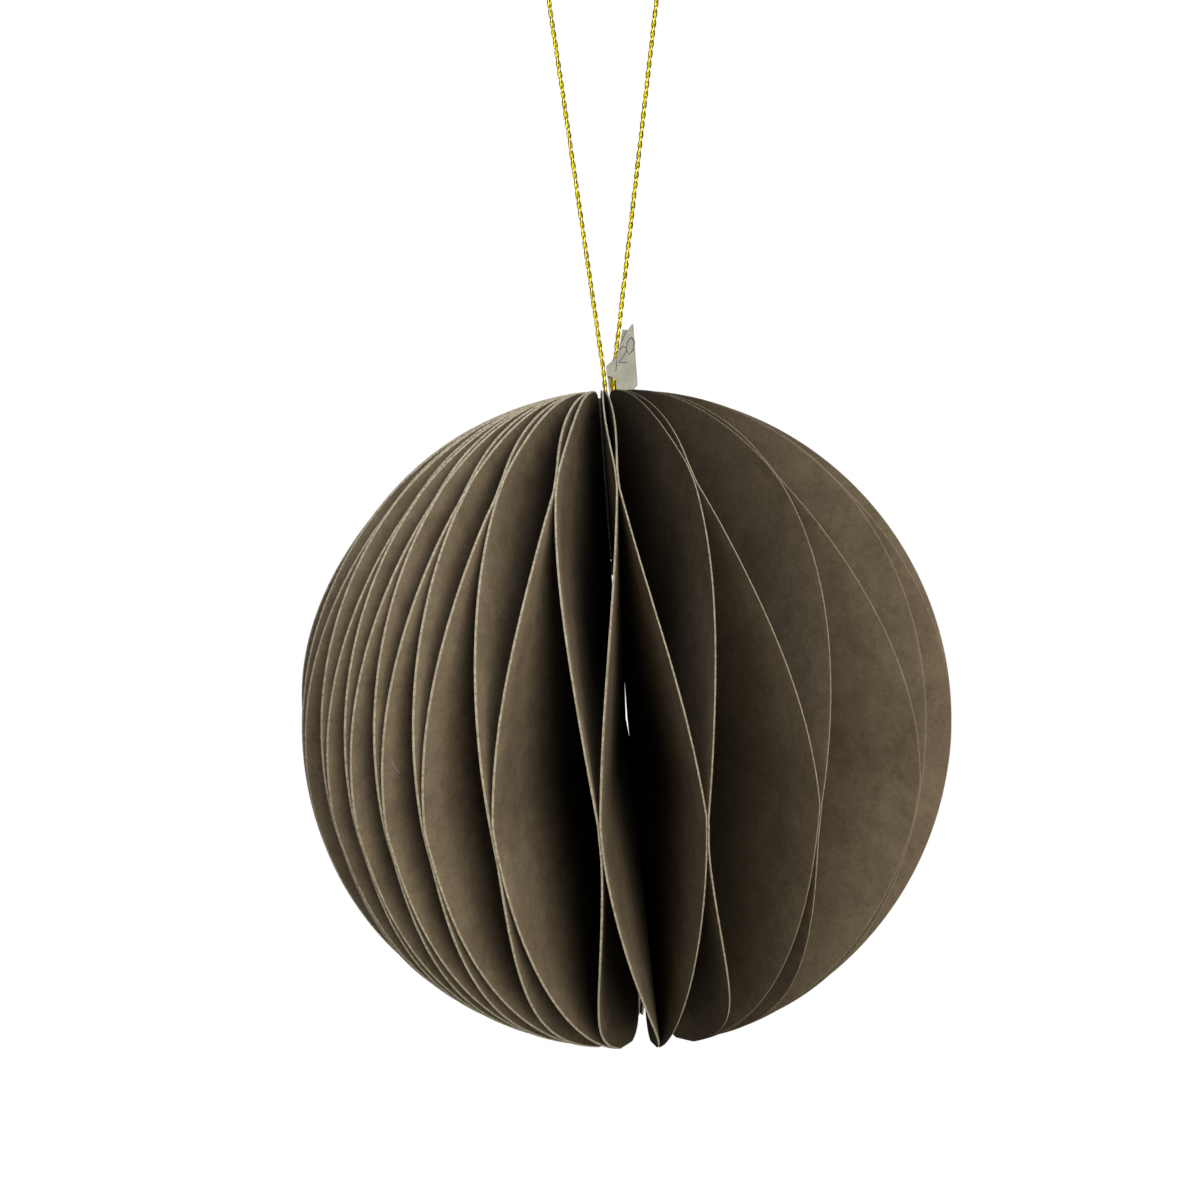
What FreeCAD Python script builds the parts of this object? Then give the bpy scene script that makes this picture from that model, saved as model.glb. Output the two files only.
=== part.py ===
import FreeCAD, Part
import math
import os

# Hanging ball made of half-round card leaves that are glued to each other in turn,
# with a gold cord loop and a folded paper tag at the top. Millimetres, +Z up the
# ball's own axis, origin at the middle of the ball, the viewed front toward -Y.

doc = FreeCAD.newDocument("paper_ball")
sheet = doc.addObject("Spreadsheet::Sheet", "sizes")

SIZES = (
    # ball and card
    ("ball_radius", 50.0),
    ("leaf_rise", 0.65),
    ("card_thickness", 0.27),
    ("core_radius", 5.0),
    ("leaf_pairs", 24),
    # latitudes of the glued spots, in degrees, and half the length of a spot
    ("upper_spot", 42.5),
    ("middle_spot", -14.3),
    ("lower_spot", -77.5),
    ("spot_half", 2.2),
    # how softly a leaf turns away from a spot, and how far a pair parts again on top
    ("upper_ease", 0.12),
    ("lower_ease", 0.12),
    ("lower_lag", 1.46),
    ("top_parting", 1.2),
    # rounding of the two inner corners of a leaf
    ("bottom_corner", 5.5),
    ("top_corner", 1.2),
    # directions of the upper spots on the viewed side, left to right
    ("upper_a", -56.8),
    ("upper_b", -47.3),
    ("upper_c", -40.1),
    ("upper_d", -32.0),
    ("upper_e", -23.3),
    ("upper_f", -10.8),
    ("upper_g", 1.9),
    ("upper_h", 17.8),
    ("upper_i", 38.3),
    ("upper_j", 60.5),
    # the unseen back: one pair faces straight back, and the fan opens wider at its left
    ("back_turn", 177.5),
    ("left_back_turn", 258.0),
    ("left_turn", 293.0),
    # directions of the middle spots between them
    ("middle_a", -59.3),
    ("middle_b", -51.1),
    ("middle_c", -42.9),
    ("middle_d", -34.3),
    ("middle_e", -21.8),
    ("middle_f", -5.0),
    ("middle_g", 11.3),
    ("middle_h", 30.4),
    ("middle_i", 56.1),
    # the middle spots lean away from the front by this much at the sides
    ("middle_lean", 12.0),
    # the lower spots stand wider apart at the front
    ("lower_front", 7.0),
    ("lower_widening", 19.6),
    ("lower_reach", 1.05),
    # cord loop
    ("cord_diameter", 0.75),
    ("strand_left", 0.7),
    ("strand_right", 1.5),
    ("left_bend_rise", 1.2),
    ("right_bend_rise", 0.7),
    ("left_lean", 4.28),
    ("right_lean", 10.75),
    ("loop_rise", 63.0),
    ("bend_share", 0.45),
    # plug in the core that the knotted cord hangs from
    ("plug_drop", 0.8),
    ("plug_height", 24.0),
    ("knot_radius", 1.9),
    ("knot_drop", 1.5),
    # folded paper tag
    ("tag_thickness", 0.12),
    ("tag_fold", 5.6),
    ("tag_drop", 0.75),
)

for row, (name, value) in enumerate(SIZES, start=1):
    sheet.set("A%d" % row, name)
    sheet.set("B%d" % row, str(value))
    sheet.setAlias("B%d" % row, name)
doc.recompute()


def size(name):
    return float(sheet.get(name))


RADIUS = size("ball_radius")
CARD = size("card_thickness")
CORE = size("core_radius")
LEAF = RADIUS + size("leaf_rise")
PAIRS = int(round(size("leaf_pairs")))
FRONT_PAIR = 6
LETTERS = "abcdefghij"

# flat facets along a leaf: its rounded foot, the rim up to the middle spot, the rim up to
# the upper spot, the rim above that, and the rounded top
FOOT_FACETS = 5
LOWER_FACETS = 15
UPPER_FACETS = 14
CROWN_FACETS = 9
TOP_FACETS = 3
# share of the way to the next pair that a leaf's foot opens by
FOOT_OPENING = 0.25


def upper_turn(pair):
    # direction of the upper and lower gluing of a pair; the back is shared evenly
    lap = pair // PAIRS
    place = pair - lap * PAIRS
    seen = len(LETTERS)
    if place < seen:
        return size("upper_" + LETTERS[place]) + 360.0 * lap
    # known directions of the back, with even steps between them
    known = (
        (seen - 1, size("upper_" + LETTERS[-1])),
        (seen - 1 + (PAIRS - seen) // 2, size("back_turn")),
        (PAIRS - 2, size("left_back_turn")),
        (PAIRS - 1, size("left_turn")),
    )
    for (start, low), (stop, high) in zip(known[:-1], known[1:]):
        if place <= stop:
            share = (place - start) / float(stop - start)
            return low + (high - low) * share + 360.0 * lap


def middle_turn(pair):
    # direction of the gluing between a pair and the next one
    lap = pair // PAIRS
    place = pair - lap * PAIRS
    if place < len(LETTERS) - 1:
        return size("middle_" + LETTERS[place]) + 360.0 * lap
    between = 0.5 * (upper_turn(pair) + upper_turn(pair + 1))
    return between + size("middle_lean") * math.sin(math.radians(between))


def lower_turn(pair):
    lap = pair // PAIRS
    step = pair - lap * PAIRS - FRONT_PAIR
    if step > PAIRS / 2.0:
        step = step - PAIRS
        lap = lap + 1
    wide = size("lower_widening")
    even = (360.0 - 2.0 * wide) / PAIRS
    bump = wide * math.tanh(step / size("lower_reach"))
    return size("lower_front") + even * step + bump + 360.0 * lap


def across(turn):
    # unit vector square to the upright plane that faces the given direction
    a = math.radians(turn)
    return FreeCAD.Vector(math.cos(a), math.sin(a), 0)


def spot(turn, reach, height):
    a = math.radians(turn)
    return FreeCAD.Vector(reach * math.sin(a), -reach * math.cos(a), height)


def ease(share, soft):
    share = max(0.0, min(1.0, share))
    return share - soft * math.sin(2.0 * math.pi * share) / (2.0 * math.pi)


def corner(radius):
    # centre of the rounding between the rim and the inner edge, and where it starts
    reach = CORE + radius
    from_middle = reach + size("leaf_rise")
    height = math.sqrt((LEAF - radius) ** 2 - from_middle ** 2)
    latitude = math.degrees(math.atan2(height, from_middle))
    return reach, height, latitude


def rim_reach_at(latitude):
    # the leaf's arc is a little larger than the ball and its centre lies inward
    return LEAF * math.cos(math.radians(latitude)) - size("leaf_rise")


def stations(start, stop, count):
    return [start + (stop - start) * n / float(count) for n in range(1, count + 1)]


def leaf_outline(pair, side):
    # rows of (point on the left face, point on the right face) from foot to top,
    # with the leaf turned so that its inner edge is straight ahead
    top = upper_turn(pair)
    low = lower_turn(pair)
    mid = middle_turn(pair) if side > 0 else middle_turn(pair - 1)
    inner = 0.5 * (top + mid)
    if side > 0:
        foot = low + FOOT_OPENING * (lower_turn(pair + 1) - low)
    else:
        foot = low - FOOT_OPENING * (low - lower_turn(pair - 1))
    half = size("spot_half")
    upper = size("upper_spot")
    middle = size("middle_spot")
    lower = size("lower_spot")

    def both_faces(turn, reach, height, swung):
        base = spot(turn - inner, reach, height)
        normal = across(turn - inner) * CARD
        if side > 0:
            return (base - normal * swung, base + normal * (1.0 - swung))
        return (base - normal * (1.0 - swung), base + normal * swung)

    rows = []
    # rounded foot, from the inner edge out to the rim
    reach, height, start = corner(size("bottom_corner"))
    rim_reach = rim_reach_at(start)
    for n in range(FOOT_FACETS):
        a = math.radians(180.0 + n * start / FOOT_FACETS)
        r = reach + size("bottom_corner") * math.cos(a)
        z = -height + size("bottom_corner") * math.sin(a)
        q = (rim_reach - r) / (rim_reach - CORE)
        turn = low + (foot - low) * q
        rows.append(both_faces(turn, r, z, 0.5 * q))
    # rim from the foot up to the middle spot
    track = [-start]
    track = track + stations(-start, lower + half, 1)
    track = track + stations(lower + half, middle - half, LOWER_FACETS)
    track = track + stations(middle - half, middle + half, 1)
    track = track + stations(middle + half, upper - half, UPPER_FACETS)
    track = track + stations(upper - half, upper + half, 1)
    reach_top, height_top, end = corner(size("top_corner"))
    track = track + stations(upper + half, end, CROWN_FACETS)
    for latitude in track:
        if latitude <= middle:
            share = (middle - half - latitude) / (middle - half - lower - half)
            share = max(0.0, share) ** size("lower_lag")
            swung = 1.0 - ease(share, size("lower_ease"))
            turn = low + (mid - low) * swung
        else:
            share = (upper - half - latitude) / (upper - middle - 2.0 * half)
            swung = ease(share, size("upper_ease"))
            rise = max(0.0, (latitude - upper - half) / (end - upper - half))
            parted = side * size("top_parting") * math.sin(math.pi * rise)
            turn = top + parted + (mid - top) * swung
        height = LEAF * math.sin(math.radians(latitude))
        rows.append(both_faces(turn, rim_reach_at(latitude), height, swung))
    # small rounding at the top, back to the inner edge
    rim_reach = rim_reach_at(end)
    for n in range(1, TOP_FACETS + 1):
        a = math.radians(end + n * (180.0 - end) / TOP_FACETS)
        r = reach_top + size("top_corner") * math.cos(a)
        z = height_top + size("top_corner") * math.sin(a)
        q = (rim_reach - r) / (rim_reach - CORE)
        turn = top + (inner - top) * q
        rows.append(both_faces(turn, r, z, 0.5 * q))
    return inner, rows


def triangle(a, b, c):
    return Part.Face(Part.makePolygon([a, b, c, a]))


def leaf_shape(pair, side):
    # a card bent about one point of its inner edge: straight folds run from there
    inner, rows = leaf_outline(pair, side)
    normal = across(0) * (0.5 * CARD)
    apex_left = spot(0, CORE, 0) - normal
    apex_right = spot(0, CORE, 0) + normal
    faces = []
    for (left_a, right_a), (left_b, right_b) in zip(rows[:-1], rows[1:]):
        faces.append(triangle(apex_left, left_a, left_b))
        faces.append(triangle(apex_right, right_b, right_a))
        faces.append(triangle(left_a, right_a, right_b))
        faces.append(triangle(left_a, right_b, left_b))
    for left, right in (rows[0], rows[-1]):
        faces.append(triangle(apex_left, left, right))
        faces.append(triangle(apex_left, right, apex_right))
    shell = Part.Shell(faces)
    solid = Part.Solid(shell)
    if solid.Volume < 0:
        solid.reverse()
    return inner, solid


parts = []

number = 0
for pair in range(PAIRS):
    for side in (-1, 1):
        number = number + 1
        turn, shape = leaf_shape(pair, side)
        leaf = doc.addObject("Part::Feature", "leaf_%02d" % number)
        leaf.Label = "leaf_%02d" % number
        leaf.Shape = shape
        upright = FreeCAD.Vector(0, 0, 1)
        leaf.Placement = FreeCAD.Placement(FreeCAD.Vector(), FreeCAD.Rotation(upright, turn))
        parts.append(leaf)


def rounded_wire(points):
    # straight runs joined by tangent arcs, as wide as the shorter run allows
    edges = []
    start = points[0]
    for before, here, after in zip(points[:-2], points[1:-1], points[2:]):
        back = before - here
        ahead = after - here
        cut = size("bend_share") * min(back.Length, ahead.Length)
        back.normalize()
        ahead.normalize()
        half_turn = 0.5 * (math.pi - back.getAngle(ahead))
        radius = cut / math.tan(half_turn)
        print("cord bend radius", round(radius, 2))
        first = here + back * cut
        last = here + ahead * cut
        inward = (back + ahead).normalize()
        deep = radius / math.cos(half_turn) - radius
        edges.append(Part.LineSegment(start, first).toShape())
        edges.append(Part.Arc(first, here + inward * deep, last).toShape())
        start = last
    edges.append(Part.LineSegment(start, points[-1]).toShape())
    return Part.Wire(edges)


CORD = 0.5 * size("cord_diameter")
PLUG_TOP = RADIUS - size("plug_drop")
knot_centre = PLUG_TOP - size("plug_height") - size("knot_drop")
lean_left = math.radians(size("left_lean"))
lean_right = math.radians(size("right_lean"))
left_z = RADIUS + size("left_bend_rise")
right_z = RADIUS + size("right_bend_rise")


def slanted(lean):
    return FreeCAD.Vector(math.sin(lean), 0, math.cos(lean))


left_foot = FreeCAD.Vector(size("strand_left"), 0, knot_centre)
left_bend = FreeCAD.Vector(size("strand_left"), 0, left_z)
right_foot = FreeCAD.Vector(size("strand_right"), 0, knot_centre)
right_bend = FreeCAD.Vector(size("strand_right"), 0, right_z)
# point where the two slanted strands would meet below; the loop is even about it
gap = size("strand_right") - size("strand_left")
gap = gap - math.tan(lean_left) * left_z - math.tan(lean_right) * right_z
meet_z = -gap / (math.tan(lean_left) + math.tan(lean_right))
meet_x = size("strand_left") - math.tan(lean_left) * (meet_z - left_z)
meet = FreeCAD.Vector(meet_x, 0, meet_z)
reach = RADIUS + size("loop_rise") - meet_z
half_open = 0.5 * (lean_left + lean_right)
middle_lean = 0.5 * (lean_right - lean_left)
left_top = meet + slanted(-lean_left) * reach
right_top = meet + slanted(lean_right) * reach
crown_radius = reach * math.tan(half_open)
crown = meet + slanted(middle_lean) * (reach / math.cos(half_open) + crown_radius)
left_run = rounded_wire([left_foot, left_bend, left_top])
right_run = rounded_wire([right_top, right_bend, right_foot])
crown_arc = Part.Arc(left_top, crown, right_top).toShape()
route = Part.Wire(left_run.Edges + [crown_arc] + right_run.Edges)
ring = Part.Wire([Part.makeCircle(CORD, left_foot, FreeCAD.Vector(0, 0, 1))])
cord = doc.addObject("Part::Feature", "cord_loop")
cord.Label = "cord_loop"
cord.Shape = route.makePipeShell([ring], True, True)
cord.Placement = FreeCAD.Placement()
parts.append(cord)
print("cord length", round(route.Length, 2))
print("crown radius", round(crown_arc.Curve.Radius, 3))
print("crown", round(crown.x, 3), round(crown.z, 3))
print("cord section times length", round(math.pi * CORD ** 2 * route.Length, 3))

# short plug in the core, with a hole for the two strands
plug_body = doc.addObject("Part::Cylinder", "plug_body")
plug_body.setExpression("Radius", "sizes.core_radius")
plug_body.setExpression("Height", "sizes.plug_height")
plug_body.setExpression("Placement.Base.z", "sizes.ball_radius - sizes.plug_drop - sizes.plug_height")
plug_hole = doc.addObject("Part::Cylinder", "plug_hole")
plug_hole.setExpression("Radius", "(sizes.strand_right - sizes.strand_left + sizes.cord_diameter) / 2")
plug_hole.setExpression("Height", "sizes.plug_height * 2")
plug_hole.setExpression("Placement.Base.x", "(sizes.strand_right + sizes.strand_left) / 2")
plug_hole.setExpression(
    "Placement.Base.z", "sizes.ball_radius - sizes.plug_drop - sizes.plug_height * 1.5")
plug = doc.addObject("Part::Cut", "core_plug")
plug.Label = "core_plug"
plug.Base = plug_body
plug.Tool = plug_hole
parts.append(plug)

# knot under the plug; the strands end inside it
knot_ball = doc.addObject("Part::Sphere", "knot_ball")
knot_ball.setExpression("Radius", "sizes.knot_radius")
knot_ball.setExpression("Placement.Base.x", "(sizes.strand_right + sizes.strand_left) / 2")
knot_ball.setExpression(
    "Placement.Base.z",
    "sizes.ball_radius - sizes.plug_drop - sizes.plug_height - sizes.knot_drop")
knot_room = doc.addObject("Part::Box", "knot_room")
knot_room.setExpression("Length", "sizes.knot_radius * 6")
knot_room.setExpression("Width", "sizes.knot_radius * 6")
knot_room.setExpression("Height", "sizes.knot_radius * 3")
knot_room.setExpression("Placement.Base.x", "-sizes.knot_radius * 3")
knot_room.setExpression("Placement.Base.y", "-sizes.knot_radius * 3")
knot_room.setExpression(
    "Placement.Base.z", "sizes.ball_radius - sizes.plug_drop - sizes.plug_height")
knot_flat = doc.addObject("Part::Cut", "knot_flat")
knot_flat.Base = knot_ball
knot_flat.Tool = knot_room
knot = doc.addObject("Part::Cut", "cord_knot")
knot.Label = "cord_knot"
knot.Base = knot_flat
knot.Tool = cord
parts.append(knot)

# paper tag folded round the right strand; the two outlines are seen from the front,
# with heights from the top of the ball
FRONT_TAG = (
    (0.9, 4.6), (2.4, 5.75), (3.6, 8.1), (4.6, 9.8), (5.4, 10.8), (5.8, 10.6),
    (5.8, 1.6), (5.25, 1.3), (4.62, -0.4), (4.2, -2.0), (2.35, -2.0),
    (2.25, 2.5), (1.8, 2.9), (1.05, 3.2),
)
BACK_TAG = (
    (0.95, 4.2), (2.3, 5.6), (3.3, 7.75), (3.87, 10.25), (4.63, 10.07), (5.4, 10.8),
    (5.8, 10.6), (5.8, 1.6), (5.25, 1.3), (4.62, -0.4), (4.2, -2.0),
    (1.2, -2.0), (1.15, 1.0), (1.05, 3.2),
)
tag_half = CORD + 0.5 * size("tag_thickness")
tag_foot = RADIUS - size("tag_drop")


def tag_outline(table, depth, sign):
    points = []
    for x, z in table:
        points.append(FreeCAD.Vector(x, 0, max(RADIUS + z, tag_foot)))
    points.append(points[0])
    return Part.Face(Part.makePolygon(points)).extrude(FreeCAD.Vector(0, sign * depth, 0))


def tag_band(offset):
    bend = size("tag_fold") - tag_half - 0.5 * size("tag_thickness")
    r = tag_half + offset
    a = FreeCAD.Vector(0, r, tag_foot)
    b = FreeCAD.Vector(bend, r, tag_foot)
    c = FreeCAD.Vector(bend + r, 0, tag_foot)
    d = FreeCAD.Vector(bend, -r, tag_foot)
    e = FreeCAD.Vector(0, -r, tag_foot)
    edges = [Part.LineSegment(a, b).toShape(), Part.Arc(b, c, d).toShape()]
    edges = edges + [Part.LineSegment(d, e).toShape(), Part.LineSegment(e, a).toShape()]
    return Part.Face(Part.Wire(edges)).extrude(FreeCAD.Vector(0, 0, RADIUS))


half_paper = 0.5 * size("tag_thickness")
band = tag_band(half_paper).cut(tag_band(-half_paper))
front_area = tag_outline(FRONT_TAG, RADIUS, -1)
back_area = tag_outline(BACK_TAG, RADIUS, 1)
tag_solid = band.common(front_area).fuse(band.common(back_area)).removeSplitter()
tag = doc.addObject("Part::Feature", "price_tag")
tag.Label = "price_tag"
tag.Shape = tag_solid.Solids[0]
tag.Placement = FreeCAD.Placement()
parts.append(tag)
print("tag solids", len(tag_solid.Solids))

doc.recompute()

for item in doc.Objects:
    for word in ("Invalid", "Error"):
        if word in item.State:
            raise RuntimeError("%s is %s" % (item.Name, word))
for item in parts:
    if item.Shape.isNull() or not item.Shape.isValid():
        raise RuntimeError("%s has no valid shape" % item.Label)

os.makedirs("parts", exist_ok=True)
for item in parts:
    item.Shape.exportStep("parts/%s.step" % item.Label)
    print(item.Label, round(item.Shape.Volume, 3), len(item.Shape.Solids), len(item.Shape.Faces))
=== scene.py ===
import math

import bmesh
import bpy
from mathutils import Matrix, Vector


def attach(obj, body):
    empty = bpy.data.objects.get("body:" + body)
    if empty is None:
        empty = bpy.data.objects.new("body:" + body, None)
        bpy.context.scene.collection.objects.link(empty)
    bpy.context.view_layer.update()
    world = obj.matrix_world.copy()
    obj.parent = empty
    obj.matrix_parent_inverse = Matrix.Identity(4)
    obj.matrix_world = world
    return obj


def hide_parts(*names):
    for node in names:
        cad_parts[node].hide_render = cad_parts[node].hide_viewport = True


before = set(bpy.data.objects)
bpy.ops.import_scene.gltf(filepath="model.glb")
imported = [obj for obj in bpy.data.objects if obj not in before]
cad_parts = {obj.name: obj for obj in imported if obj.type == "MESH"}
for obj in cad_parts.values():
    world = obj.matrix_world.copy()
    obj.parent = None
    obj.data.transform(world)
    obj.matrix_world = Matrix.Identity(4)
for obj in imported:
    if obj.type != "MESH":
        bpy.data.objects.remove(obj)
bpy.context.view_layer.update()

MM = 0.001

# Sizes of the ball in millimetres and degrees, the same as in the part's source
RADIUS = 50.0
LEAF_RISE = 0.65
LEAF = RADIUS + LEAF_RISE
CARD = 0.27
CORE = 5.0
PAIRS = 24
FRONT_PAIR = 6
UPPER_SPOT = 42.5
MIDDLE_SPOT = -14.3
LOWER_SPOT = -77.5
SPOT_HALF = 2.2
UPPER_EASE = 0.12
LOWER_EASE = 0.12
LOWER_LAG = 1.46
TOP_PARTING = 1.2
BOTTOM_CORNER = 5.5
TOP_CORNER = 1.2
FOOT_OPENING = 0.25
UPPER = (-56.8, -47.3, -40.1, -32.0, -23.3, -10.8, 1.9, 17.8, 38.3, 60.5)
BACK_TURN = 177.5
LEFT_BACK_TURN = 258.0
LEFT_TURN = 293.0
MIDDLE = (-59.3, -51.1, -42.9, -34.3, -21.8, -5.0, 11.3, 30.4, 56.1)
MIDDLE_LEAN = 12.0
LOWER_FRONT = 7.0
LOWER_WIDENING = 19.6
LOWER_REACH = 1.05


def upper_turn(pair):
    """Direction in which the two leaves of a pair are glued to each other."""
    lap, place = divmod(pair, PAIRS)
    seen = len(UPPER)
    if place < seen:
        return UPPER[place] + 360.0 * lap
    known = (
        (seen - 1, UPPER[-1]),
        (seen - 1 + (PAIRS - seen) // 2, BACK_TURN),
        (PAIRS - 2, LEFT_BACK_TURN),
        (PAIRS - 1, LEFT_TURN),
    )
    for (start, low), (stop, high) in zip(known[:-1], known[1:]):
        if place <= stop:
            return low + (high - low) * (place - start) / (stop - start) + 360.0 * lap


def middle_turn(pair):
    """Direction in which a pair is glued to the next one."""
    lap, place = divmod(pair, PAIRS)
    if place < len(MIDDLE):
        return MIDDLE[place] + 360.0 * lap
    between = 0.5 * (upper_turn(pair) + upper_turn(pair + 1))
    return between + MIDDLE_LEAN * math.sin(math.radians(between))


def lower_turn(pair):
    lap, place = divmod(pair, PAIRS)
    step = place - FRONT_PAIR
    if step > PAIRS / 2:
        step -= PAIRS
        lap += 1
    even = (360.0 - 2.0 * LOWER_WIDENING) / PAIRS
    bump = LOWER_WIDENING * math.tanh(step / LOWER_REACH)
    return LOWER_FRONT + even * step + bump + 360.0 * lap


def ease(share, soft):
    share = max(0.0, min(1.0, share))
    return share - soft * math.sin(2.0 * math.pi * share) / (2.0 * math.pi)


def corner(radius):
    """Centre of a rounded inner corner and the latitude at which it meets the rim."""
    reach = CORE + radius
    from_middle = reach + LEAF_RISE
    height = math.sqrt((LEAF - radius) ** 2 - from_middle ** 2)
    return reach, height, math.degrees(math.atan2(height, from_middle))


def rim_reach_at(latitude):
    return LEAF * math.cos(math.radians(latitude)) - LEAF_RISE


# Shares of a leaf's outer edge that end the rounded foot and start the rounded top
FOOT_END = 0.06
TOP_START = 0.98


def leaf_edge(pair, side, along):
    """Middle of the card's thickness on the leaf's outer edge, its distance from the axis
    and the way through the card: along goes from 0 at the lower end of the inner edge to 1
    at its upper end. Millimetres."""
    top = upper_turn(pair)
    low = lower_turn(pair)
    mid = middle_turn(pair) if side > 0 else middle_turn(pair - 1)
    inner = 0.5 * (top + mid)
    foot = low + FOOT_OPENING * (lower_turn(pair + side) - low)
    foot_reach, foot_height, start = corner(BOTTOM_CORNER)
    top_reach, top_height, end = corner(TOP_CORNER)
    if along < FOOT_END:
        a = math.radians(180.0 + start * along / FOOT_END)
        reach = foot_reach + BOTTOM_CORNER * math.cos(a)
        height = -foot_height + BOTTOM_CORNER * math.sin(a)
        q = (rim_reach_at(start) - reach) / (rim_reach_at(start) - CORE)
        turn = low + (foot - low) * q
        swung = 0.5 * q
    elif along > TOP_START:
        a = math.radians(end + (180.0 - end) * (along - TOP_START) / (1.0 - TOP_START))
        reach = top_reach + TOP_CORNER * math.cos(a)
        height = top_height + TOP_CORNER * math.sin(a)
        q = (rim_reach_at(end) - reach) / (rim_reach_at(end) - CORE)
        turn = top + (inner - top) * q
        swung = 0.5 * q
    else:
        latitude = -start + (end + start) * (along - FOOT_END) / (TOP_START - FOOT_END)
        reach = rim_reach_at(latitude)
        height = LEAF * math.sin(math.radians(latitude))
        if latitude <= MIDDLE_SPOT:
            room = MIDDLE_SPOT - LOWER_SPOT - 2.0 * SPOT_HALF
            share = max(0.0, (MIDDLE_SPOT - SPOT_HALF - latitude) / room) ** LOWER_LAG
            swung = 1.0 - ease(share, LOWER_EASE)
            turn = low + (mid - low) * swung
        else:
            room = UPPER_SPOT - MIDDLE_SPOT - 2.0 * SPOT_HALF
            swung = ease((UPPER_SPOT - SPOT_HALF - latitude) / room, UPPER_EASE)
            crown = UPPER_SPOT + SPOT_HALF
            rise = max(0.0, (latitude - crown) / (end - crown))
            parted = side * TOP_PARTING * math.sin(math.pi * rise)
            turn = top + parted + (mid - top) * swung
    a = math.radians(turn)
    across = Vector((math.cos(a), math.sin(a), 0.0))
    edge = Vector((reach * math.sin(a), -reach * math.cos(a), height))
    return edge + across * side * CARD * (0.5 - swung), reach, across


def linear(code):
    """sRGB hex to the linear colour that shaders take."""
    values = [int(code[n:n + 2], 16) / 255.0 for n in (1, 3, 5)]
    return [v / 12.92 if v <= 0.04045 else ((v + 0.055) / 1.055) ** 2.4 for v in values] + [1.0]


def material(name, **finish):
    """A material and the uniform values of its surface, by socket name with _ for spaces."""
    made = bpy.data.materials.new(name)
    made.use_nodes = True
    tree = made.node_tree
    shader = tree.nodes["Principled BSDF"]
    for socket, value in finish.items():
        shader.inputs[socket.replace("_", " ")].default_value = value
    return made, tree, shader


def add(tree, kind, inputs=None, stops=(), **settings):
    """One node with its settings. An input is a value or another node's socket. Stops are a
    ramp's marks: a place, then an sRGB hex colour or one linear grey value."""
    node = tree.nodes.new(kind)
    for name, value in settings.items():
        setattr(node, name, value)
    for name, value in (inputs or {}).items():
        socket = node.inputs[name]
        if isinstance(value, bpy.types.NodeSocket):
            tree.links.new(value, socket)
        else:
            socket.default_value = value
    if stops:
        marks = node.color_ramp.elements
        while len(marks) < len(stops):
            marks.new(0.5)
        for mark, (place, colour) in zip(marks, stops):
            mark.position = place
            mark.color = linear(colour) if isinstance(colour, str) else (colour, colour, colour, 1.0)
    return node


# Width of the square that holds one leaf laid flat, in millimetres
FLAT_SHEET = 100.0


def on_sheet(grain):
    """Scale that gives a pattern of this grain, in millimetres, on a leaf laid flat."""
    return FLAT_SHEET / grain


def in_space(grain):
    """The same on Object coordinates, which are in metres."""
    return 1.0 / (grain * MM)


# Through-dyed uncoated card, pressed between felts: matte, with a faint bloom at grazing
# angles, cloudy where the pulp lay thicker, finely mottled, with a few undyed pale specks.
# The tone falls off toward the core. That is no property of the card: it stands in for the
# shade between the leaves, which the lamps alone leave too light.
def dyed_card():
    made, tree, shader = material(
        "dyed_card", Roughness=0.95, Specular_IOR_Level=0.04)
    flat = add(tree, "ShaderNodeUVMap", uv_map="flat_card").outputs["UV"]
    number = add(tree, "ShaderNodeAttribute", attribute_name="leaf_number").outputs["Fac"]
    # Share of the way out to the rim, which drives the painted shade toward the core
    painted_shade_share = add(tree, "ShaderNodeAttribute", attribute_name="share_to_rim").outputs["Fac"]

    clouds = add(tree, "ShaderNodeTexNoise", {
        "Vector": flat, "W": number, "Scale": on_sheet(14.0), "Detail": 4.0, "Roughness": 0.55,
    }, noise_dimensions="4D").outputs["Fac"]
    mottle = add(tree, "ShaderNodeTexNoise", {
        "Vector": flat, "W": number, "Scale": on_sheet(3.0), "Detail": 4.0, "Roughness": 0.6,
        "Distortion": 0.6,
    }, noise_dimensions="4D").outputs["Fac"]
    felt = add(tree, "ShaderNodeTexNoise", {
        "Vector": flat, "W": number, "Scale": on_sheet(0.65), "Detail": 5.0, "Roughness": 0.7,
        "Distortion": 1.2,
    }, noise_dimensions="4D").outputs["Fac"]
    specks = add(tree, "ShaderNodeTexVoronoi", {
        "Vector": flat, "W": number, "Scale": on_sheet(2.2),
    }, voronoi_dimensions="4D").outputs["Distance"]

    tone = add(tree, "ShaderNodeValToRGB", {"Fac": clouds}, stops=CARD_TONES).outputs["Color"]
    for pattern, shades in (
        (mottle, ((0.3, 0.84), (0.5, 1.0), (0.7, 1.15))),
        (felt, ((0.3, 0.78), (0.5, 1.0), (0.7, 1.2))),
        # Painted shade: the card darkens toward the core
        (painted_shade_share, PAINTED_CORE_SHADE),
    ):
        shade = add(tree, "ShaderNodeValToRGB", {"Fac": pattern}, stops=shades).outputs["Color"]
        tone = add(tree, "ShaderNodeMix", {
            0: 1.0, 6: tone, 7: shade,
        }, data_type="RGBA", blend_type="MULTIPLY").outputs[2]
    speck = add(tree, "ShaderNodeValToRGB", {"Fac": specks}, stops=(
        (0.0, 0.8), (0.04, 0.8), (0.06, 0.0))).outputs["Color"]
    tone = add(tree, "ShaderNodeMix", {
        0: speck, 6: tone, 7: linear("#a3947d"),
    }, data_type="RGBA").outputs[2]
    tree.links.new(tone, shader.inputs["Base Color"])
    relief = add(tree, "ShaderNodeBump", {"Strength": 0.35, "Distance": 0.05 * MM, "Height": felt})
    tree.links.new(relief.outputs["Normal"], shader.inputs["Normal"])
    return made


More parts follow.
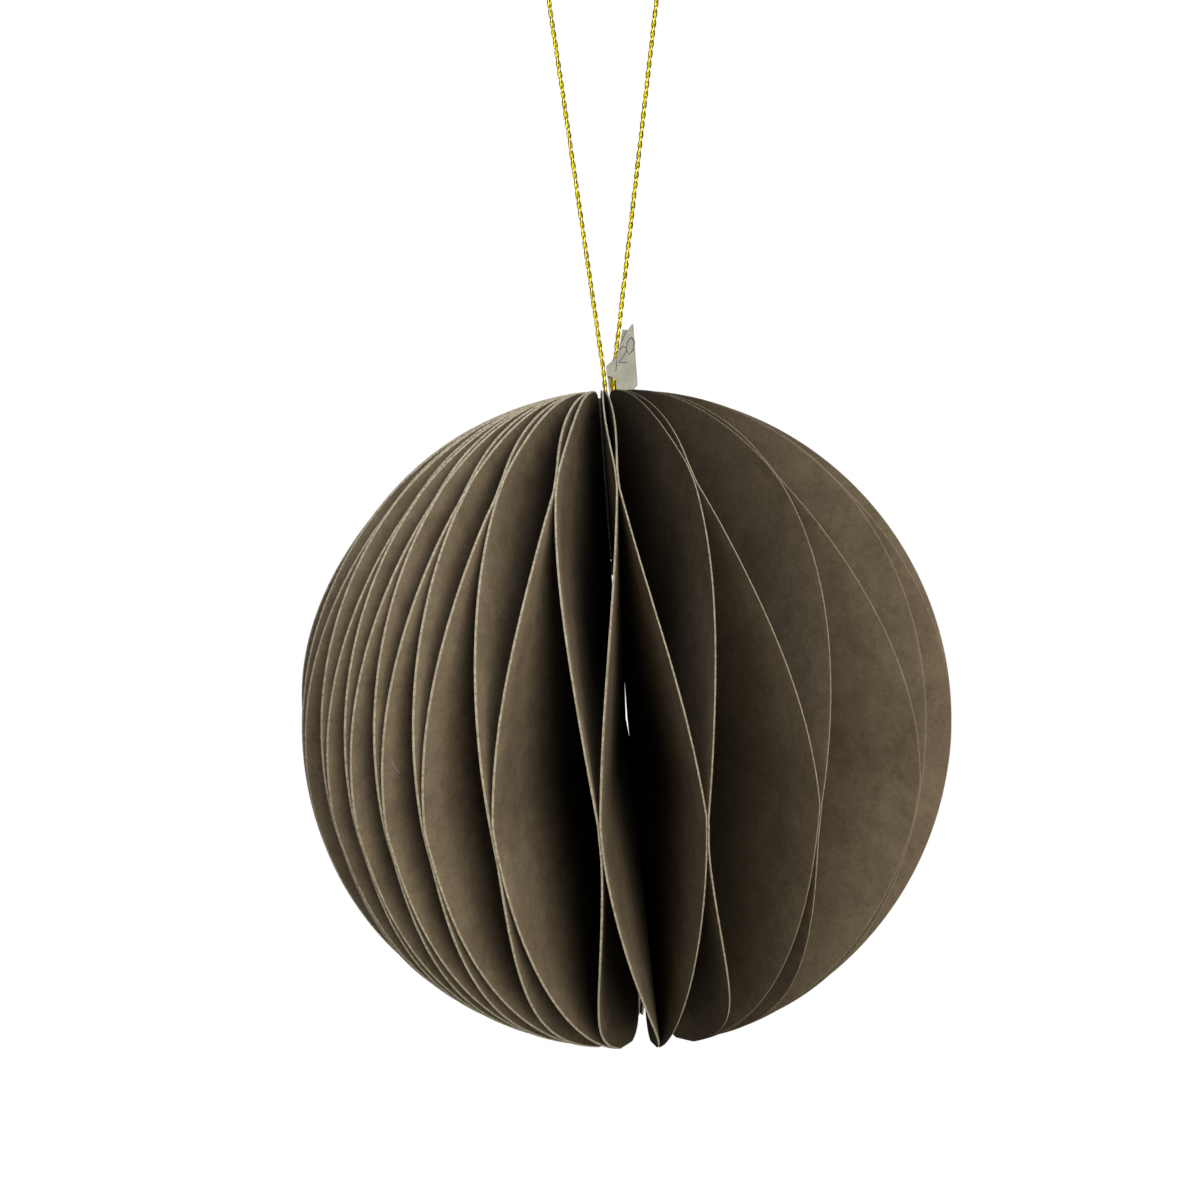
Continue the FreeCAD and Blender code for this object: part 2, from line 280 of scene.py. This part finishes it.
# Knife-cut edge of the card: the undyed core shows as a thin pale line with torn fibres.
def cut_edge():
    made, tree, shader = material("cut_card_edge", Roughness=0.9, Specular_IOR_Level=0.2)
    place = add(tree, "ShaderNodeTexCoord").outputs["Object"]
    fray = add(tree, "ShaderNodeTexNoise", {
        "Vector": place, "Scale": in_space(0.5), "Detail": 3.0, "Roughness": 0.7,
    }).outputs["Fac"]
    tone = add(tree, "ShaderNodeValToRGB", {"Fac": fray}, stops=CUT_TONES).outputs["Color"]
    tree.links.new(tone, shader.inputs["Base Color"])
    relief = add(tree, "ShaderNodeBump", {"Strength": 0.5, "Distance": 0.04 * MM, "Height": fray})
    tree.links.new(relief.outputs["Normal"], shader.inputs["Normal"])
    return made


# Foil yarn: flat gilt film wound round a thread, so each ply glints in short bars.
def gilt_yarn():
    made, tree, shader = material("gilt_foil_yarn", Metallic=1.0, Roughness=0.3)
    place = add(tree, "ShaderNodeTexCoord").outputs["Object"]
    turns = add(tree, "ShaderNodeTexNoise", {
        "Vector": place, "Scale": in_space(0.4), "Detail": 2.0, "Roughness": 0.5,
    }).outputs["Fac"]
    tone = add(tree, "ShaderNodeValToRGB", {"Fac": turns}, stops=(
        (0.3, "#a3920c"), (0.5, "#ecd926"), (0.7, "#fff27a"))).outputs["Color"]
    tree.links.new(tone, shader.inputs["Base Color"])
    relief = add(tree, "ShaderNodeBump", {"Strength": 0.6, "Distance": 0.05 * MM, "Height": turns})
    tree.links.new(relief.outputs["Normal"], shader.inputs["Normal"])
    return made


# Uncoated label paper: off-white, slightly grey, with soft handling marks.
def label_paper():
    made, tree, shader = material("label_paper", Roughness=0.8, Specular_IOR_Level=0.3)
    place = add(tree, "ShaderNodeTexCoord").outputs["Object"]
    marks = add(tree, "ShaderNodeTexNoise", {
        "Vector": place, "Scale": in_space(2.4), "Detail": 5.0, "Roughness": 0.6,
    }).outputs["Fac"]
    fibre = add(tree, "ShaderNodeTexNoise", {
        "Vector": place, "Scale": in_space(0.2), "Detail": 3.0, "Roughness": 0.6,
    }).outputs["Fac"]
    tone = add(tree, "ShaderNodeValToRGB", {"Fac": marks}, stops=(
        (0.3, "#a9a99c"), (0.55, "#bbbbb0"), (0.75, "#c8c8be"))).outputs["Color"]
    tree.links.new(tone, shader.inputs["Base Color"])
    relief = add(tree, "ShaderNodeBump", {"Strength": 0.25, "Distance": 0.03 * MM, "Height": fibre})
    tree.links.new(relief.outputs["Normal"], shader.inputs["Normal"])
    return made


# Pen ink, dried matte on the paper, thinner where the stroke was quick.
def pen_ink():
    made, tree, shader = material("pen_ink", Roughness=0.6)
    place = add(tree, "ShaderNodeTexCoord").outputs["Object"]
    flow = add(tree, "ShaderNodeTexNoise", {
        "Vector": place, "Scale": in_space(0.45), "Detail": 2.0,
    }).outputs["Fac"]
    tone = add(tree, "ShaderNodeValToRGB", {"Fac": flow}, stops=(
        (0.35, "#3a3b3f"), (0.65, "#707074"))).outputs["Color"]
    tree.links.new(tone, shader.inputs["Base Color"])
    return made


# Tones of the card and of its cut edge, and how much of the card's tone is left on the way
# from the core out to the rim: painted shade that stands in for the shade between the leaves
CARD_TONES = ((0.32, "#7c6f5d"), (0.5, "#867864"), (0.68, "#8e816c"))
CUT_TONES = ((0.32, "#8a806c"), (0.5, "#b5ab95"), (0.68, "#cfc6b2"))
PAINTED_CORE_SHADE = ((0.1, 0.05), (0.33, 0.11), (0.55, 0.33), (0.75, 0.66), (1.0, 1.0))
CARD_FACE = dyed_card()
CARD_CUT = cut_edge()
GILT = gilt_yarn()
LABEL = label_paper()
INK = pen_ink()


def keep(name, bm, *finishes):
    """Turns a bmesh into an object that rides on the ball."""
    mesh = bpy.data.meshes.new(name)
    bm.to_mesh(mesh)
    bm.free()
    piece = bpy.data.objects.new(name, mesh)
    bpy.context.scene.collection.objects.link(piece)
    for finish in finishes:
        mesh.materials.append(finish)
    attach(piece, "root")
    return piece


# Card leaves: quads of each leaf out from the core and along its edge
OUTWARD = 9
ALONG = 128
# Quads crowd toward the rim by this power
CROWDING = 1.3
# The faces stay this much inside the part's own, in millimetres
SKIN = 0.005
# The knife leant: on one side the cut starts this far in from the rim, in millimetres,
# and the card keeps this share of its thickness at the rim itself
CUT_LEAN = 0.2
CUT_LEFT = 0.25
# Where the leaf is narrow, at the top and the foot, its rim counts as this far out only, so the
# painted shade toward the core darkens the top and the foot more
PAINTED_SHADE_NARROW_RIM = 0.45
# Steps of the noise's fourth coordinate between leaves, so that no two look alike
LEAF_STEP = 3.7
# Corners closer than this, in metres, are one
SAME_PLACE = 1e-7


def leaf(pair, side, number):
    """One card leaf. The grid is its left face; the modifier adds the thickness, thinner
    at the rim, where the cut edge shows."""
    top = upper_turn(pair)
    mid = middle_turn(pair) if side > 0 else middle_turn(pair - 1)
    inner = math.radians(0.5 * (top + mid))
    across = Vector((math.cos(inner), math.sin(inner), 0.0)) * (SKIN - 0.5 * CARD)
    hinge = Vector((CORE * math.sin(inner), -CORE * math.cos(inner), 0.0)) + across
    bm = bmesh.new()
    bmesh.ops.create_grid(bm, x_segments=OUTWARD, y_segments=ALONG, size=1.0)
    sheet = bm.loops.layers.uv.new("flat_card")
    full = bm.verts.layers.deform.verify()
    share = bm.verts.layers.float.new("share_to_rim")
    flat = {}
    rows = {}
    rim = set()
    for v in bm.verts:
        column = round(0.5 * (v.co.x + 1.0) * OUTWARD)
        key = round(0.5 * (v.co.y + 1.0), 5)
        if key not in rows:
            edge, reach, turned = leaf_edge(pair, side, key)
            rows[key] = edge + turned * (SKIN - 0.5 * CARD), reach
        edge, reach = rows[key]
        if column == OUTWARD:
            out = 1.0
            rim.add(v)
        else:
            out = 1.0 - (1.0 - column / (OUTWARD - 1)) ** CROWDING
            out *= 1.0 - CUT_LEAN / (edge - hinge).length
        flat[v] = ((CORE + (reach - CORE) * out) / FLAT_SHEET, 0.5 + edge.z * out / FLAT_SHEET)
        v[full][0] = CUT_LEFT if column == OUTWARD else 1.0
        # Painted shade: this share to the rim, smaller where the leaf is narrow, sets how much of
        # the card's tone is left
        v[share] = out * (PAINTED_SHADE_NARROW_RIM + (1.0 - PAINTED_SHADE_NARROW_RIM) * reach / RADIUS)
        v.co = (hinge + (edge - hinge) * out) * MM
    for face in bm.faces:
        face.smooth = True
        face.material_index = 1 if any(v in rim for v in face.verts) else 0
        for loop in face.loops:
            loop[sheet].uv = flat[loop.vert]
    bmesh.ops.remove_doubles(bm, verts=bm.verts, dist=SAME_PLACE)
    name = "leaf_%02d" % number
    piece = keep("card_" + name, bm, CARD_FACE, CARD_FACE, CARD_CUT)
    piece.vertex_groups.new(name="full_thickness")
    tag = piece.data.attributes.new("leaf_number", "FLOAT", "POINT")
    tag.data.foreach_set("value", [number * LEAF_STEP] * len(piece.data.vertices))
    wall = piece.modifiers.new("card_thickness", "SOLIDIFY")
    wall.thickness = (CARD - 2.0 * SKIN) * MM
    wall.offset = -1.0
    wall.vertex_group = "full_thickness"
    wall.material_offset = 1
    wall.material_offset_rim = 1
    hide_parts(name)


for pair in range(PAIRS):
    leaf(pair, -1, 2 * pair + 1)
    leaf(pair, 1, 2 * pair + 2)

# Cord: the route's points in millimetres, given one by one. They follow the part's route up to
# the crown, where this line is flatter and departs from the part's arc by up to 2.4 mm
ROUTE = [
    (0.7, 0, 23.7), (0.7, 0, 51.2), (0.25, 0, 57.2), (-3.45, 0, 106.6), (-4.75, 0, 121.7),
    (4.3, 0, 122.4), (15.0, 0, 121.9), (12.1, 0, 106.6), (2.73, 0, 57.2), (1.5, 0, 50.7),
    (1.5, 0, 23.7),
]
PLY_TURN = 3.06 * MM
PLY_RADIUS = 0.2 * MM
PLY_OFFSET = 0.175 * MM
STEPS_A_TURN = 16
ROUTE_FINENESS = 24
TUBE_ROUNDNESS = 2


def smooth_line(points):
    """Points along the NURBS line that the route gives."""
    data = bpy.data.curves.new("cord_route", "CURVE")
    data.dimensions = "3D"
    line = data.splines.new("NURBS")
    line.points.add(len(points) - 1)
    for spot, (x, y, z) in zip(line.points, points):
        spot.co = (x * MM, y * MM, z * MM, 1.0)
    line.order_u = 3
    line.use_endpoint_u = True
    line.resolution_u = ROUTE_FINENESS
    holder = bpy.data.objects.new("cord_route", data)
    bpy.context.scene.collection.objects.link(holder)
    traced = bpy.data.meshes.new_from_object(holder)
    found = [v.co.copy() for v in traced.vertices]
    bpy.data.objects.remove(holder)
    bpy.data.meshes.remove(traced)
    bpy.data.curves.remove(data)
    return found


def evenly(points, step):
    """The same line with points an even step apart."""
    found = [points[0].copy()]
    left = step
    for a, b in zip(points[:-1], points[1:]):
        run = (b - a).length
        done = 0.0
        while run - done >= left:
            done += left
            found.append(a.lerp(b, done / run))
            left = step
        left -= run - done
    return found


def tube(name, path, radius):
    """A round tube along points, as a mesh."""
    data = bpy.data.curves.new(name, "CURVE")
    data.dimensions = "3D"
    line = data.splines.new("POLY")
    line.points.add(len(path) - 1)
    for spot, here in zip(line.points, path):
        spot.co = (here.x, here.y, here.z, 1.0)
    data.bevel_depth = radius
    data.bevel_resolution = TUBE_ROUNDNESS
    data.use_fill_caps = True
    holder = bpy.data.objects.new(name, data)
    bpy.context.scene.collection.objects.link(holder)
    made = bpy.data.meshes.new_from_object(holder)
    bpy.data.objects.remove(holder)
    bpy.data.curves.remove(data)
    return made


def ply_path(path, phase):
    """Points of one ply, which winds round the cord's middle line."""
    side = Vector((0, 1, 0))
    gone = 0.0
    found = []
    for n, here in enumerate(path):
        ahead = path[min(n + 1, len(path) - 1)]
        behind = path[max(n - 1, 0)]
        run = (ahead - behind).normalized()
        if n:
            gone += (here - path[n - 1]).length
        up = run.cross(side).normalized()
        a = phase + 2.0 * math.pi * gone / PLY_TURN
        found.append(here + (side * math.cos(a) + up * math.sin(a)) * PLY_OFFSET)
    return found


def joined(meshes):
    """One smooth bmesh from several meshes, which are removed."""
    bm = bmesh.new()
    for mesh in meshes:
        bm.from_mesh(mesh)
        bpy.data.meshes.remove(mesh)
    for face in bm.faces:
        face.smooth = True
    return bm


cord_line = evenly(smooth_line(ROUTE), PLY_TURN / STEPS_A_TURN)
plies = [tube("ply", ply_path(cord_line, phase), PLY_RADIUS) for phase in (0.0, math.pi)]
cord = keep("gilt_cord", joined(plies), GILT)
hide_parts("cord_loop")

# Three pen numerals on the front of the tag: strokes in a square one unit high, then
# where each numeral stands (left, foot, height, lean) in millimetres and degrees
NUMERALS = {
    "1": [(0.0, 0.75), (0.3, 1.0), (0.28, 0.0)],
    "2": [(0.0, 0.8), (0.15, 1.0), (0.42, 0.9), (0.38, 0.6), (0.0, 0.03), (0.5, 0.0)],
    "0": [(0.25, 1.0), (0.02, 0.75), (0.0, 0.3), (0.2, 0.0), (0.42, 0.25), (0.46, 0.7),
          (0.25, 1.0)],
}
WRITTEN = (("1", 1.75, 3.75, 2.3, 8.0), ("2", 2.95, 5.0, 2.5, 8.0), ("0", 4.1, 6.2, 2.6, 10.0))
PEN_RADIUS = 0.075
TAG_FRONT = -0.495


def numeral(sign, left, foot, tall, lean):
    """A pen stroke that lies on the tag's front."""
    path = []
    for across, up in NUMERALS[sign]:
        x = left + tall * (across + up * math.tan(math.radians(lean)))
        path.append(Vector((x, TAG_FRONT, RADIUS + foot + tall * up)) * MM)
    return tube("stroke", path, PEN_RADIUS * MM)


keep("pen_numerals", joined([numeral(*one) for one in WRITTEN]), INK)

# A loose pale fibre on a leaf left of the middle: points on the middle of the card, in
# millimetres, and the leaf's direction there
FIBRE = (
    (-31.55, -36.45, -1.6), (-31.35, -36.1, -2.25),
    (-31.15, -35.65, -2.75), (-30.93, -35.3, -3.2),
)
FIBRE_LEAF = -41.0
FIBRE_RADIUS = 0.045
fibre_turn = math.radians(FIBRE_LEAF)
off_face = Vector((math.cos(fibre_turn), math.sin(fibre_turn), 0.0)) * (0.5 * CARD + FIBRE_RADIUS)
fibre = tube("fibre", [(Vector(point) + off_face) * MM for point in FIBRE], FIBRE_RADIUS * MM)
keep("paper_fibre", joined([fibre]), LABEL)

# Pieces that keep the part's own shape
for name, finish in (("price_tag", LABEL), ("cord_knot", GILT), ("core_plug", CARD_CUT)):
    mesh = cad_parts[name].data
    mesh.materials.clear()
    mesh.materials.append(finish)


def pale_floor():
    """White to the camera and in reflections, plain pale paper to everything else."""
    made, tree, shader = material("pale_floor", Base_Color=linear("#e8e8e6"), Roughness=0.9)
    seen = add(tree, "ShaderNodeLightPath").outputs
    glossy = add(tree, "ShaderNodeMath", {
        0: seen["Is Camera Ray"], 1: seen["Is Glossy Ray"],
    }, operation="MAXIMUM")
    clear = add(tree, "ShaderNodeMath", {
        0: glossy.outputs[0], 1: seen["Is Transmission Ray"],
    }, operation="MAXIMUM")
    glow = add(tree, "ShaderNodeEmission", {"Color": (1, 1, 1, 1), "Strength": 1.0})
    mix = add(tree, "ShaderNodeMixShader", {
        "Fac": clear.outputs[0], 1: shader.outputs["BSDF"], 2: glow.outputs["Emission"],
    })
    tree.links.new(mix.outputs["Shader"], tree.nodes["Material Output"].inputs["Surface"])
    return made


# Room: a pale floor well below the hanging ball, and a white background
FLOOR_HEIGHT = -0.6
FLOOR_HALF = 3.0
ROOM_LIGHT = 0.02
bm = bmesh.new()
bmesh.ops.create_grid(bm, x_segments=1, y_segments=1, size=FLOOR_HALF)
bmesh.ops.translate(bm, verts=bm.verts, vec=(0, 0, FLOOR_HEIGHT))
mesh = bpy.data.meshes.new("floor")
bm.to_mesh(mesh)
bm.free()
floor = bpy.data.objects.new("floor", mesh)
mesh.materials.append(pale_floor())
bpy.context.scene.collection.objects.link(floor)

world = bpy.data.worlds.new("white_room")
bpy.context.scene.world = world
world.use_nodes = True
tree = world.node_tree
ground = tree.nodes["Background"]
ground.inputs["Color"].default_value = (1, 1, 1, 1)
seen = add(tree, "ShaderNodeLightPath")
clear = add(tree, "ShaderNodeMath", {
    0: seen.outputs["Is Camera Ray"], 1: seen.outputs["Is Transmission Ray"],
}, operation="MAXIMUM")
level = add(tree, "ShaderNodeMapRange", {
    "Value": clear.outputs[0], "To Min": ROOM_LIGHT, "To Max": 1.0,
})
tree.links.new(level.outputs["Result"], ground.inputs["Strength"])

# Soft boxes: direction from the front toward the right, height angle, both in degrees,
# then size in metres, power in watts and tint. The front ones follow the photograph, the
# one behind only keeps the unseen side from being black
LAMP_DISTANCE = 1.0
LAMPS = (
    ("soft_box_front", 22.0, 10.0, 0.6, 7.4, "#fff9ec"),
    ("soft_box_left", -40.0, 40.0, 0.6, 0.8, "#ffffff"),
    ("soft_box_above", 0.0, 80.0, 0.6, 5.0, "#edf4ff"),
    ("soft_box_behind", 190.0, 20.0, 0.6, 6.0, "#fff9ec"),
)
for name, turn, height, size, power, tint in LAMPS:
    turn, height = math.radians(turn), math.radians(height)
    place = LAMP_DISTANCE * Vector((
        math.sin(turn) * math.cos(height), -math.cos(turn) * math.cos(height), math.sin(height),
    ))
    data = bpy.data.lights.new(name, "AREA")
    data.shape = "DISK"
    data.size = size
    data.energy = power
    data.color = linear(tint)[:3]
    light = bpy.data.objects.new(name, data)
    light.location = place
    light.rotation_mode = "QUATERNION"
    light.rotation_quaternion = (-place).to_track_quat("-Z", "Y")
    bpy.context.scene.collection.objects.link(light)

# The photograph's view as fitted: other cameras near this one fit about as well
FRAME_PX = 1200.0
SENSOR_MM = 36.0
ELEVATION = math.radians(3.0)
ROLL = math.radians(4.1)
DISTANCE = 0.25
RADIUS_PX = 326.4
CENTRE_PX = (625.2, 719.4)
FOCAL_PX = RADIUS_PX * math.sqrt((DISTANCE / (RADIUS * MM)) ** 2 - 1.0)
lens = bpy.data.cameras.new("camera")
lens.sensor_width = SENSOR_MM
lens.lens = lens.sensor_width * FOCAL_PX / FRAME_PX
lens.shift_x = 0.5 - CENTRE_PX[0] / FRAME_PX
lens.shift_y = CENTRE_PX[1] / FRAME_PX - 0.5
lens.clip_start = 0.01
lens.clip_end = 10.0
camera = bpy.data.objects.new("camera", lens)
forward = Vector((0, math.cos(ELEVATION), -math.sin(ELEVATION)))
rise = Vector((0, math.sin(ELEVATION), math.cos(ELEVATION)))
right = Vector((1, 0, 0)) * math.cos(ROLL) - rise * math.sin(ROLL)
upward = Vector((1, 0, 0)) * math.sin(ROLL) + rise * math.cos(ROLL)
turned = Matrix((right, upward, -forward)).transposed().to_4x4()
camera.matrix_world = Matrix.Translation(-forward * DISTANCE) @ turned
bpy.context.scene.collection.objects.link(camera)
bpy.context.scene.camera = camera
bpy.context.scene.view_settings.view_transform = "Standard"
